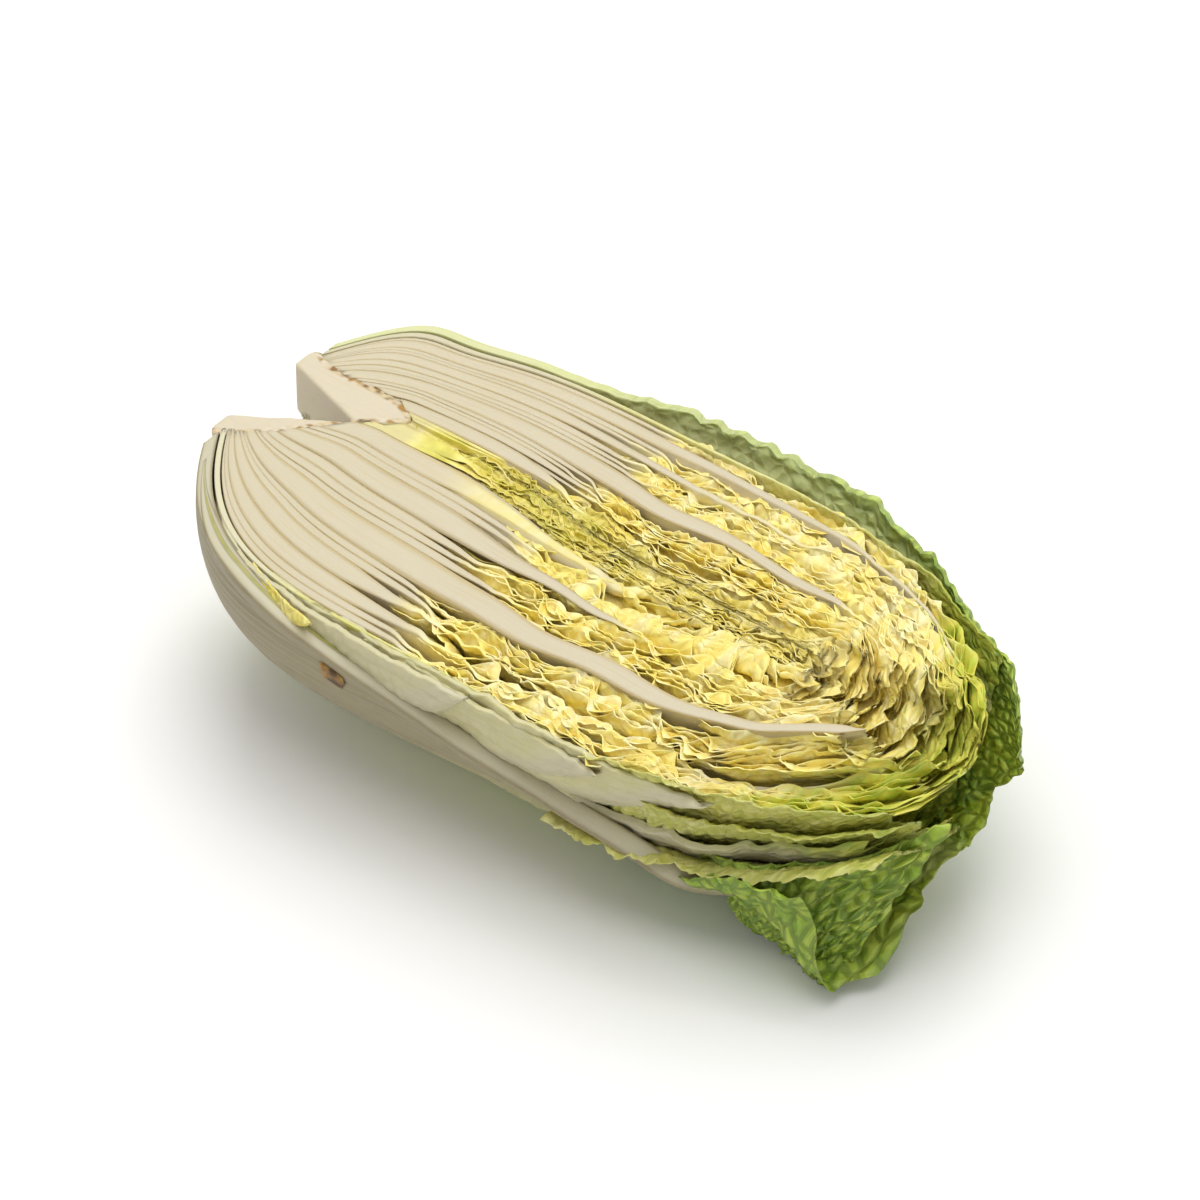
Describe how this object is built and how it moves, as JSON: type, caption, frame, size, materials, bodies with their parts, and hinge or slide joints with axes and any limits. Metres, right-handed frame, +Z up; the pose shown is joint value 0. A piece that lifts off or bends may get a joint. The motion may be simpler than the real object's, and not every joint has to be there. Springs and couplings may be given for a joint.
{
  "type": "halved napa cabbage",
  "caption": "Half of a napa cabbage cut lengthwise, lying on its round side: packed white ribs, crinkled yellow blades, green outer leaves and a V notch in the core.",
  "frame": {"origin": "centre of the small flat spot under the bottom outer leaf, on which the half rests", "axes": "+X along the head from the butt to the leafy tip, +Y to the far side, +Z up, square to the cut face"},
  "size_m": [0.3045, 0.1661, 0.0768],
  "materials": {
    "core_white": "cut stump flesh, moist and matt, cream white with a brown speckled rim",
    "heart_yellow_green": "thin crumpled heart leaves, yellow green, satin",
    "rib_white_leaf": "thick white rib running out into a thin crinkled yellow blade, moist and satin",
    "yellow_leaf": "thin crinkled yellow blade on a white rib, satin",
    "pale_green_leaf": "white ribbed leaf with pale green blistered blade, waxy",
    "outer_rib_leaf": "outer leaf, greenish white petiole with long fine ribs, waxy",
    "green_leaf": "outer green blade, blistered, with pale net of veins, waxy"
  },
  "bodies": {
    "root": {"core": "core_white", "heart_leaf_01": "heart_yellow_green", "heart_leaf_02": "heart_yellow_green", "heart_leaf_03": "heart_yellow_green", "head_leaf_01": "yellow_leaf", "head_leaf_02": "yellow_leaf", "head_leaf_03": "yellow_leaf", "head_leaf_04": "yellow_leaf", "head_leaf_05": "yellow_leaf", "head_leaf_06": "yellow_leaf", "head_leaf_07": "yellow_leaf", "head_leaf_08": "yellow_leaf", "head_leaf_09": "yellow_leaf", "head_leaf_10": "yellow_leaf", "head_leaf_11": "yellow_leaf", "head_leaf_12": "yellow_leaf", "head_leaf_13": "rib_white_leaf", "head_leaf_14": "rib_white_leaf", "head_leaf_15": "rib_white_leaf", "head_leaf_16": "rib_white_leaf", "head_leaf_17": "rib_white_leaf", "head_leaf_18": "rib_white_leaf", "head_leaf_19": "rib_white_leaf", "head_leaf_20": "rib_white_leaf", "head_leaf_21": "rib_white_leaf", "head_leaf_22": "rib_white_leaf", "head_leaf_23": "rib_white_leaf", "head_leaf_24": "rib_white_leaf", "head_leaf_25": "rib_white_leaf", "wrapper_leaf_near_inner": "pale_green_leaf", "wrapper_leaf_far_inner": "pale_green_leaf", "wrapper_leaf_far": "green_leaf", "wrapper_leaf_near": "outer_rib_leaf", "wrapper_leaf_bottom": "green_leaf"}
  },
  "joints": []
}
